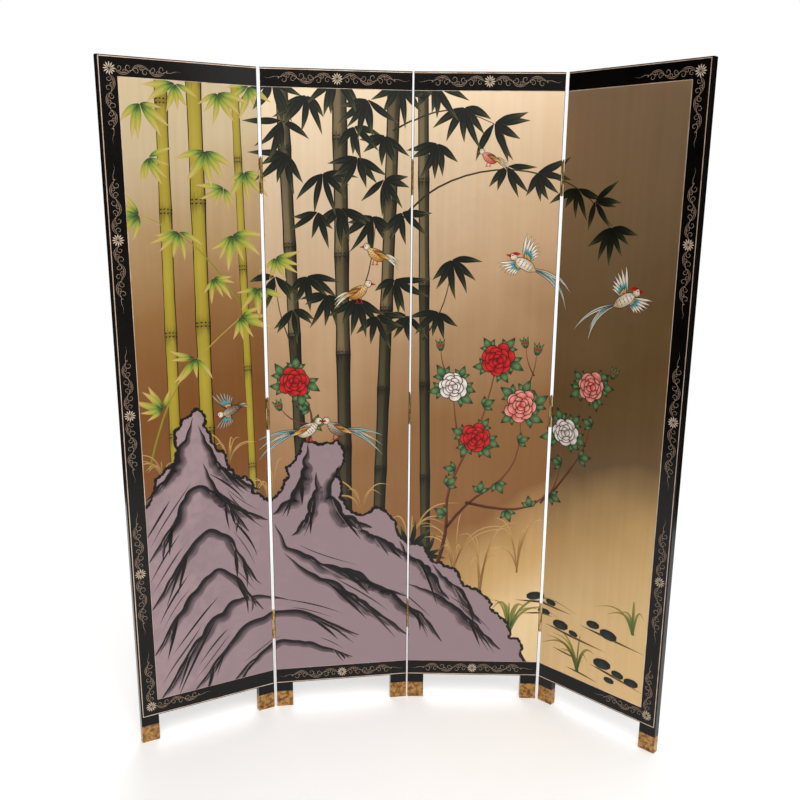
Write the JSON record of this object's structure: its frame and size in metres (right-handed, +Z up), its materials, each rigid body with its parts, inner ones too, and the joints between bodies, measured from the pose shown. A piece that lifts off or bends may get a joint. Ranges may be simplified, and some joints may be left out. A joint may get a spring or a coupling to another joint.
{
  "type": "folding screen",
  "caption": "Folding room screen of black lacquered wood panels with gold-leaf fronts painted with bamboo, rocks and peonies, on loose-pin brass hinges and gilt-capped legs.",
  "frame": {"origin": "on the floor, under the middle of the bounding box of the screen in its standing pose", "axes": "+Z up; the painted fronts face -Y; +X runs along the row from the first panel to the fourth"},
  "size_m": [1.4638, 0.3148, 1.83],
  "materials": {
    "black_lacquer": "gloss black lacquer on wood",
    "painted_gold_ground": "gold leaf ground with a painted scene and a black lacquer border, on plywood",
    "bare_wood": "bare sawn softwood inside the panel",
    "gilt_brass": "mottled gilt sheet brass",
    "hinge_brass": "polished brass"
  },
  "bodies": {
    "panel_1": {"panel_1_stile_left": "black_lacquer", "panel_1_stile_right": "black_lacquer", "panel_1_top_rail": "black_lacquer", "panel_1_upper_rail": "bare_wood", "panel_1_lower_rail": "bare_wood", "panel_1_bottom_rail": "black_lacquer", "panel_1_front_board": "painted_gold_ground", "panel_1_back_board": "black_lacquer", "panel_1_cap_left": "gilt_brass", "panel_1_cap_right": "gilt_brass", "hinge_12_leaves_left": "hinge_brass", "hinge_12_pins": "hinge_brass"},
    "panel_2": {"panel_2_stile_left": "black_lacquer", "panel_2_stile_right": "black_lacquer", "panel_2_top_rail": "black_lacquer", "panel_2_upper_rail": "bare_wood", "panel_2_lower_rail": "bare_wood", "panel_2_bottom_rail": "black_lacquer", "panel_2_front_board": "painted_gold_ground", "panel_2_back_board": "black_lacquer", "panel_2_cap_left": "gilt_brass", "panel_2_cap_right": "gilt_brass", "hinge_12_leaves_right": "hinge_brass", "hinge_23_leaves_left": "hinge_brass", "hinge_23_pins": "hinge_brass"},
    "panel_3": {"panel_3_stile_left": "black_lacquer", "panel_3_stile_right": "black_lacquer", "panel_3_top_rail": "black_lacquer", "panel_3_upper_rail": "bare_wood", "panel_3_lower_rail": "bare_wood", "panel_3_bottom_rail": "black_lacquer", "panel_3_front_board": "painted_gold_ground", "panel_3_back_board": "black_lacquer", "panel_3_cap_left": "gilt_brass", "panel_3_cap_right": "gilt_brass", "hinge_23_leaves_right": "hinge_brass", "hinge_34_leaves_left": "hinge_brass", "hinge_34_pins": "hinge_brass"},
    "panel_4": {"panel_4_stile_left": "black_lacquer", "panel_4_stile_right": "black_lacquer", "panel_4_top_rail": "black_lacquer", "panel_4_upper_rail": "bare_wood", "panel_4_lower_rail": "bare_wood", "panel_4_bottom_rail": "black_lacquer", "panel_4_front_board": "painted_gold_ground", "panel_4_back_board": "black_lacquer", "panel_4_cap_left": "gilt_brass", "panel_4_cap_right": "gilt_brass", "hinge_34_leaves_right": "hinge_brass"}
  },
  "joints": [
    {"name": "left_fold", "type": "hinge", "parent": "panel_2", "child": "panel_1", "pos_m": [-0.37023, 0.07009, 0.917], "axis": [0, 0, 1], "range_deg": [-20, 160]},
    {"name": "middle_fold", "type": "hinge", "parent": "panel_2", "child": "panel_3", "pos_m": [0.02739, 0.15494, 0.917], "axis": [0, 0, 1], "range_deg": [0, 190]},
    {"name": "right_fold", "type": "hinge", "parent": "panel_3", "child": "panel_4", "pos_m": [0.43295, 0.12625, 0.917], "axis": [0, 0, -1], "range_deg": [-44, 136]}
  ]
}
